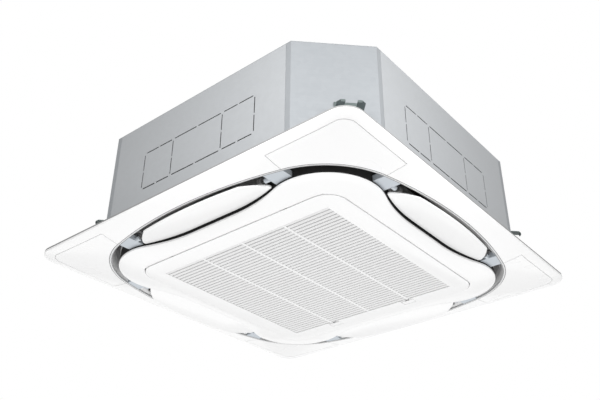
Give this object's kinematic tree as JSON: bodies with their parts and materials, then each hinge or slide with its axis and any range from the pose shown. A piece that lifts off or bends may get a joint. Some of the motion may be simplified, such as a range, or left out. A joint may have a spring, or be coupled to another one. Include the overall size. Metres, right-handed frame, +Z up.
{
  "type": "ceiling cassette air conditioner",
  "caption": "Square four-way cassette unit for a ceiling: sheet-steel casing with hangers above, white panel with swinging flaps and a drop-down suction grille below.",
  "frame": {"origin": "centre of the unit in the plane of the ceiling's lower surface, where the panel's rim meets it", "axes": "+Z up into the ceiling; X and Y along the panel's edges, the refrigerant pipes at the +X +Y corner and the grille's hinge on the -X side"},
  "size_m": [0.95, 0.95, 0.328],
  "materials": {
    "galvanised_sheet": "zinc-coated sheet, soft sheen",
    "dark_steel": "dark satin",
    "coil_aluminium": "thin fins, satin",
    "copper": "drawn copper, satin",
    "brass": "machined",
    "white_foam": "expanded polystyrene",
    "black_foam": "closed-cell foam",
    "panel_white": "clean white, soft gloss",
    "white_plastic": "moulded",
    "grey_plastic": "moulded",
    "silver_plastic": "silver-grey line",
    "black_plastic": "moulded",
    "board_green": "solder-masked board",
    "rubber": "matt"
  },
  "bodies": {
    "cassette": {"top_plate": "galvanised_sheet", "insulation_liner": "white_foam", "fan_motor": "dark_steel", "bell_mouth": "black_plastic", "control_box": "galvanised_sheet", "control_box_lid": "galvanised_sheet", "circuit_board": "board_green", "terminal_block": "black_plastic", "drain_pan": "white_foam", "heat_exchanger": "coil_aluminium", "coil_end_plate": "galvanised_sheet", "gas_header": "copper", "liquid_header": "copper", "gas_pipe": "copper", "liquid_pipe": "copper", "gas_flare_nut": "brass", "liquid_flare_nut": "brass", "drain_socket": "grey_plastic", "drain_pump": "grey_plastic", "float_switch": "white_plastic", "drain_hose": "grey_plastic", "cable_grommet": "rubber", "panel_frame": "panel_white", "outlet_trim": "silver_plastic", "outlet_seal": "black_foam", "decor_ring": "panel_white", "side_panel_right": "galvanised_sheet", "flap_motor_right": "white_plastic", "side_panel_back": "galvanised_sheet", "flap_motor_back": "white_plastic", "side_panel_left": "galvanised_sheet", "flap_motor_left": "white_plastic", "side_panel_front": "galvanised_sheet", "flap_motor_front": "white_plastic", "corner_panel_back_right": "galvanised_sheet", "hanger_bracket_back_right": "galvanised_sheet", "corner_panel_back_left": "galvanised_sheet", "hanger_bracket_back_left": "galvanised_sheet", "corner_panel_front_left": "galvanised_sheet", "hanger_bracket_front_left": "galvanised_sheet", "corner_panel_front_right": "galvanised_sheet", "hanger_bracket_front_right": "galvanised_sheet", "motor_bush_1": "rubber", "motor_bush_2": "rubber", "motor_bush_3": "rubber"},
    "fan_rotor": {"fan_shaft": "dark_steel", "turbo_fan": "white_plastic", "fan_nut": "brass"},
    "grille_door": {"suction_grille": "panel_white", "air_filter": "grey_plastic"},
    "flap_right_body": {"flap_right": "panel_white"},
    "flap_back_body": {"flap_back": "panel_white"},
    "flap_left_body": {"flap_left": "panel_white"},
    "flap_front_body": {"flap_front": "panel_white"},
    "latch_1_body": {"grille_latch_1": "panel_white"},
    "latch_2_body": {"grille_latch_2": "panel_white"},
    "cover_back_right_body": {"corner_cover_back_right": "panel_white"},
    "cover_back_left_body": {"corner_cover_back_left": "panel_white"},
    "cover_front_left_body": {"corner_cover_front_left": "panel_white"},
    "cover_front_right_body": {"corner_cover_front_right": "panel_white"}
  },
  "joints": [
    {"name": "fan_spin", "type": "hinge", "parent": "cassette", "child": "fan_rotor", "pos_m": [0, 0, 0.16], "axis": [0, 0, 1], "continuous": true},
    {"name": "grille_swing", "type": "hinge", "parent": "cassette", "child": "grille_door", "pos_m": [-0.296, 0, -0.0335], "axis": [0, 1, 0], "range_deg": [0, 45]},
    {"name": "flap_right_swing", "type": "hinge", "parent": "cassette", "child": "flap_right_body", "pos_m": [0.385, 0, -0.017], "axis": [0, 1, 0], "range_deg": [-12.4, 37.6]},
    {"name": "flap_back_swing", "type": "hinge", "parent": "cassette", "child": "flap_back_body", "pos_m": [0, 0.385, -0.017], "axis": [-1, 0, 0], "range_deg": [-12.4, 37.6]},
    {"name": "flap_left_swing", "type": "hinge", "parent": "cassette", "child": "flap_left_body", "pos_m": [-0.385, 0, -0.017], "axis": [0, -1, 0], "range_deg": [-12.4, 37.6]},
    {"name": "flap_front_swing", "type": "hinge", "parent": "cassette", "child": "flap_front_body", "pos_m": [0, -0.385, -0.017], "axis": [1, 0, 0], "range_deg": [-12.4, 37.6]},
    {"name": "latch_1_slide", "type": "slide", "parent": "grille_door", "child": "latch_1_body", "axis": [-1, 0, 0], "range_m": [0, 0.007], "stiffness_N_per_m": 300, "springref_m": -0.002},
    {"name": "latch_2_slide", "type": "slide", "parent": "grille_door", "child": "latch_2_body", "axis": [-1, 0, 0], "range_m": [0, 0.007], "stiffness_N_per_m": 300, "springref_m": -0.002},
    {"name": "cover_back_right_pull", "type": "slide", "parent": "cassette", "child": "cover_back_right_body", "axis": [0, 0, -1], "range_m": [0, 0.03]},
    {"name": "cover_back_left_pull", "type": "slide", "parent": "cassette", "child": "cover_back_left_body", "axis": [0, 0, -1], "range_m": [0, 0.03]},
    {"name": "cover_front_left_pull", "type": "slide", "parent": "cassette", "child": "cover_front_left_body", "axis": [0, 0, -1], "range_m": [0, 0.03]},
    {"name": "cover_front_right_pull", "type": "slide", "parent": "cassette", "child": "cover_front_right_body", "axis": [0, 0, -1], "range_m": [0, 0.03]}
  ]
}
